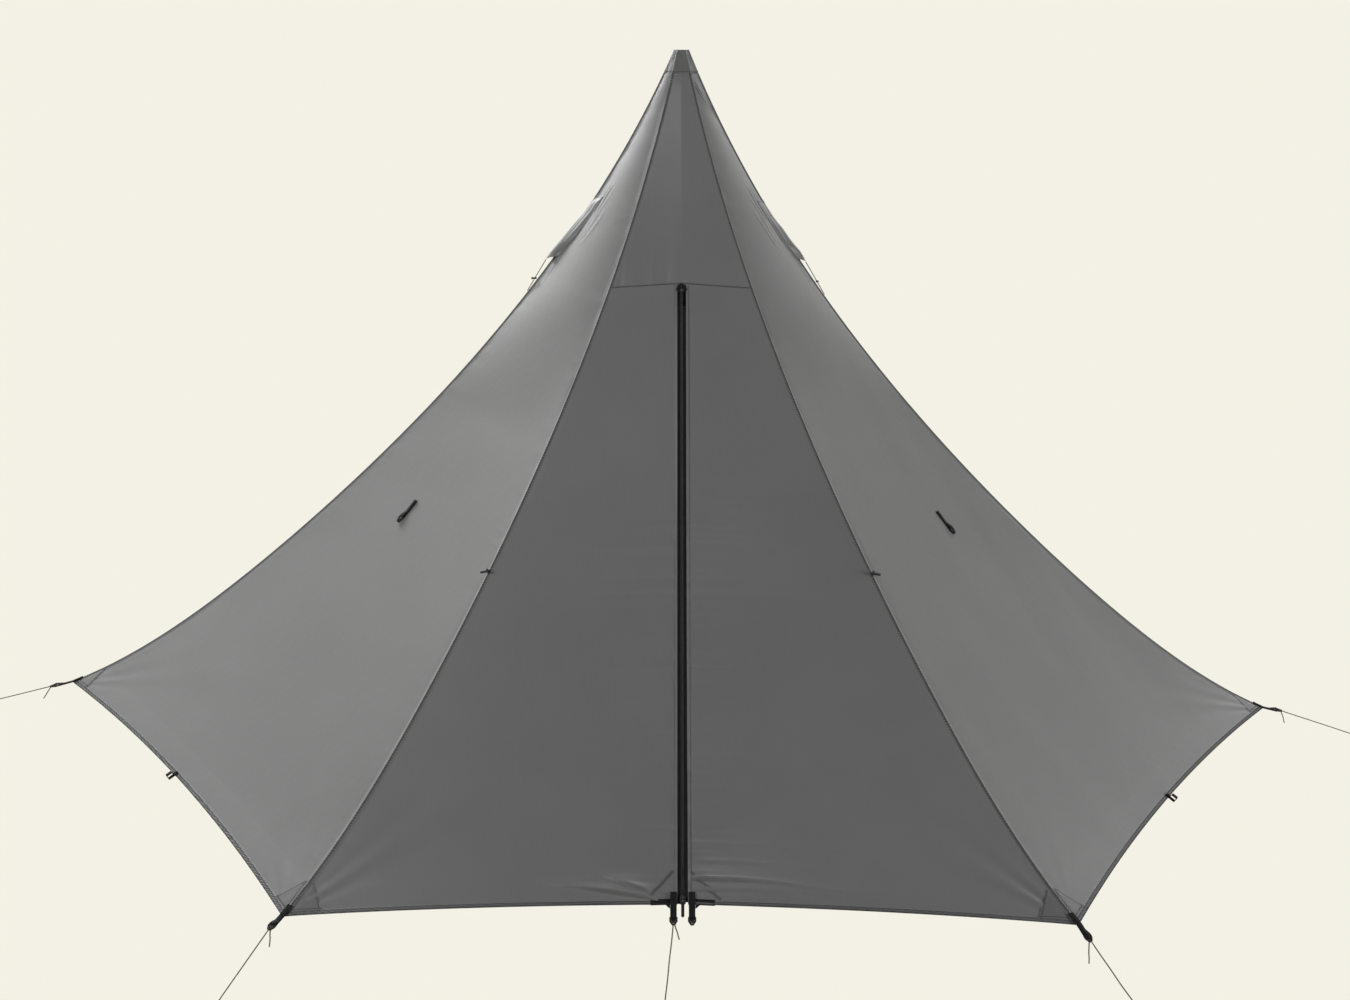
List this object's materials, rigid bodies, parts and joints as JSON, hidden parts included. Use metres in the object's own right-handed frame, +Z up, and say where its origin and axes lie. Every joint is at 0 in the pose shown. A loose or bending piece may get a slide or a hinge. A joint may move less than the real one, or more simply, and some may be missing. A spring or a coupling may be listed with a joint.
{
  "type": "teepee tent",
  "caption": "Low teepee tent of grey cloth on a central pole, with a curved front zip door, hooded side vents, webbing corner straps and staked guylines.",
  "frame": {"origin": "centre of the pole's foot on the ground", "axes": "+X to the tent's right as seen from the door, +Y towards its back, +Z up"},
  "size_m": [4.0246, 3.0279, 1.7865],
  "materials": {
    "canopy_light": "matt woven polyester",
    "canopy_dark": "matt woven polyester",
    "seam_cloth": "matt folded polyester",
    "patch_cloth": "matt coated polyester",
    "mesh": "fine insect mesh",
    "zip_tape": "woven tape",
    "zip_coil": "moulded nylon coil",
    "zip_metal": "black enamel",
    "pull_web": "moulded grip",
    "webbing": "woven webbing",
    "lock_plastic": "moulded acetal",
    "toggle_plastic": "moulded",
    "line": "braided cord",
    "elastic": "braided elastic",
    "ring_metal": "dark coated steel",
    "pole_metal": "anodised tube",
    "pole_plastic": "moulded",
    "shock_cord": "braided elastic"
  },
  "bodies": {
    "tent": {"panel_front_left": "canopy_light", "panel_front_right": "canopy_light", "panel_back_right": "canopy_light", "panel_back": "canopy_light", "panel_back_left": "canopy_light", "panel_door_top": "canopy_dark", "panel_door_left": "canopy_dark", "panel_door_right": "canopy_dark", "ridge_seams": "seam_cloth", "peak_patch": "patch_cloth", "peak_cap": "patch_cloth", "peak_cup": "pole_plastic", "hem_tape": "seam_cloth", "corner_patches": "patch_cloth", "zip_tape_left": "zip_tape", "zip_coil_left": "zip_coil", "zip_end_tab": "zip_coil", "corner_straps": "webbing", "corner_locks": "lock_plastic", "back_peg_rings": "ring_metal", "door_foot_strap_left": "webbing", "door_foot_lock_left": "lock_plastic", "pullout_straps": "webbing", "pullout_locks": "lock_plastic", "hem_loops": "webbing", "vent_mesh": "mesh", "vent_hood_left": "canopy_light", "vent_hood_right": "canopy_light", "vent_cords": "elastic", "tie_cords": "elastic", "guyline_left": "line", "guyline_right": "line", "guyline_front_left": "line", "guyline_front_right": "line", "guyline_door": "line", "line_tails": "line", "peg_loops": "line", "pole_section_1": "pole_metal", "pole_section_2": "pole_metal", "pole_section_3": "pole_metal", "pole_section_4": "pole_metal", "pole_section_5": "pole_metal", "pole_spigots": "pole_metal", "pole_foot": "pole_plastic", "pole_plug": "pole_plastic", "pole_cord": "shock_cord"},
    "door": {"door_flap": "canopy_dark", "door_flap_hem": "seam_cloth", "zip_tape_right": "zip_tape", "zip_coil_right": "zip_coil", "door_foot_strap_right": "webbing", "door_foot_lock_right": "lock_plastic"},
    "top_slider": {"top_slider": "zip_metal"},
    "bottom_slider": {"bottom_slider": "zip_metal"},
    "top_pull": {"top_pull": "pull_web"},
    "bottom_pull": {"bottom_pull": "pull_web"},
    "vent_toggle_left": {"vent_toggle_left": "toggle_plastic"},
    "vent_toggle_right": {"vent_toggle_right": "toggle_plastic"},
    "tie_toggle_left": {"tie_toggle_left": "toggle_plastic"},
    "tie_toggle_right": {"tie_toggle_right": "toggle_plastic"}
  },
  "joints": [
    {"name": "top_slider_run", "type": "hinge", "parent": "tent", "child": "top_slider", "pos_m": [0.03612, -3.44861, 3.28676], "axis": [-0.9999, -0.0105, 0], "range_deg": [0, 22.5]},
    {"name": "bottom_slider_run", "type": "hinge", "parent": "tent", "child": "bottom_slider", "pos_m": [0.03612, -3.44861, 3.28676], "axis": [-0.9999, -0.0105, 0], "range_deg": [-22.5, 0]},
    {"name": "top_pull_hinge", "type": "hinge", "parent": "top_slider", "child": "top_pull", "pos_m": [0.00316, -0.30217, 1.237], "axis": [-0.9999, -0.0105, 0], "range_deg": [0, 165]},
    {"name": "bottom_pull_hinge", "type": "hinge", "parent": "bottom_slider", "child": "bottom_pull", "pos_m": [0.01435, -1.37072, 0.15873], "axis": [-0.9999, -0.0105, 0], "range_deg": [0, 165]},
    {"name": "door_fold", "type": "hinge", "parent": "tent", "child": "door", "pos_m": [0.02791, -0.32541, 1.19742], "axis": [-0.3769, 0.6511, 0.6589], "range_deg": [0, 120]},
    {"name": "vent_toggle_turn_left", "type": "hinge", "parent": "tent", "child": "vent_toggle_left", "pos_m": [-0.37073, 0, 1.22189], "axis": [-0.5203, 0, -0.854], "range_deg": [-75, 75]},
    {"name": "vent_toggle_turn_right", "type": "hinge", "parent": "tent", "child": "vent_toggle_right", "pos_m": [0.3432, 0, 1.21465], "axis": [0.508, 0, -0.8614], "range_deg": [-150, 0]},
    {"name": "tie_toggle_turn_left", "type": "hinge", "parent": "tent", "child": "tie_toggle_left", "pos_m": [-0.42695, -0.73951, 0.65995], "axis": [-0.3503, -0.6068, 0.7135], "range_deg": [-60, 60]},
    {"name": "tie_toggle_turn_right", "type": "hinge", "parent": "tent", "child": "tie_toggle_right", "pos_m": [0.4336, -0.75102, 0.65998], "axis": [0.3475, -0.6019, 0.719], "range_deg": [-60, 60]}
  ]
}
